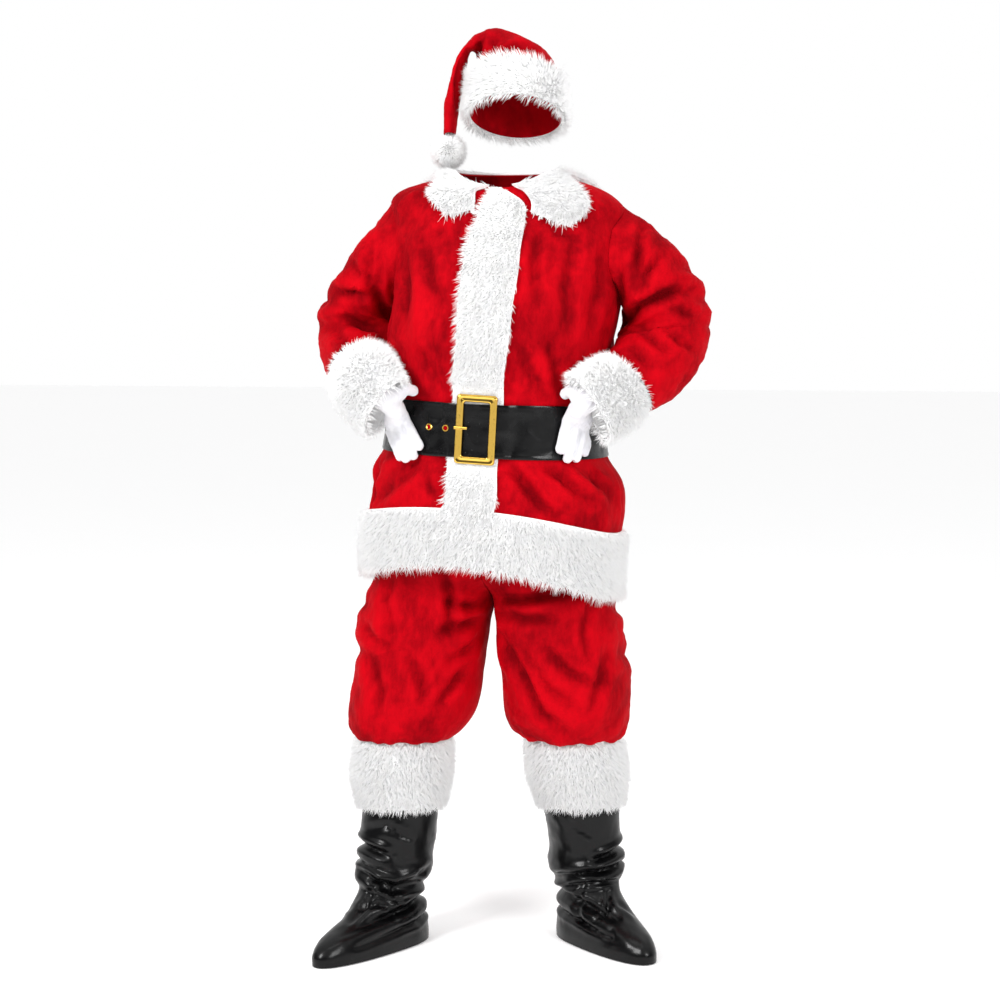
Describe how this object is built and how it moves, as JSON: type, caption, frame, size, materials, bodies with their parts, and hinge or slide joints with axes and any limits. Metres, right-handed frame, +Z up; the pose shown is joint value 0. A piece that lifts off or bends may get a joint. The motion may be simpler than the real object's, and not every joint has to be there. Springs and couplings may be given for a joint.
{
  "type": "santa suit",
  "caption": "Worn-form festive costume: plush coat and trousers with pile trim, belt, hat, gloves and boot covers, hollow where a wearer goes.",
  "frame": {"origin": "the middle of the neck's base between the shoulders, where a wearer or a hanger holds the suit up", "axes": "+Z up, the front faces -Y, +X towards the suit's own left (the viewer's right from the front)"},
  "size_m": [0.7647, 0.4521, 1.7687],
  "materials": {
    "plush_red": "short velvet-like plush with a brushed, mottled nap",
    "pile_white": "long soft white pile",
    "vinyl_black": "soft glossy vinyl on a cloth backing",
    "brass": "polished yellow metal",
    "knit_white": "fine smooth white knit"
  },
  "bodies": {
    "root": {"coat_back": "plush_red", "coat_front_left": "plush_red", "coat_front_right": "plush_red", "sleeve_left": "plush_red", "sleeve_right": "plush_red", "cuff_left": "pile_white", "cuff_right": "pile_white", "front_band": "pile_white", "hem_band": "pile_white", "collar": "pile_white", "belt": "vinyl_black", "buckle_frame": "brass", "buckle_prong": "brass", "eyelet_inner": "brass", "eyelet_outer": "brass", "leg_left": "plush_red", "leg_right": "plush_red", "waistband": "plush_red", "leg_cuff_left": "pile_white", "leg_cuff_right": "pile_white", "boot_cover_left": "vinyl_black", "boot_cover_right": "vinyl_black", "hat": "plush_red", "hat_band": "pile_white", "pompom": "pile_white", "glove_left": "knit_white", "glove_right": "knit_white"}
  },
  "joints": []
}
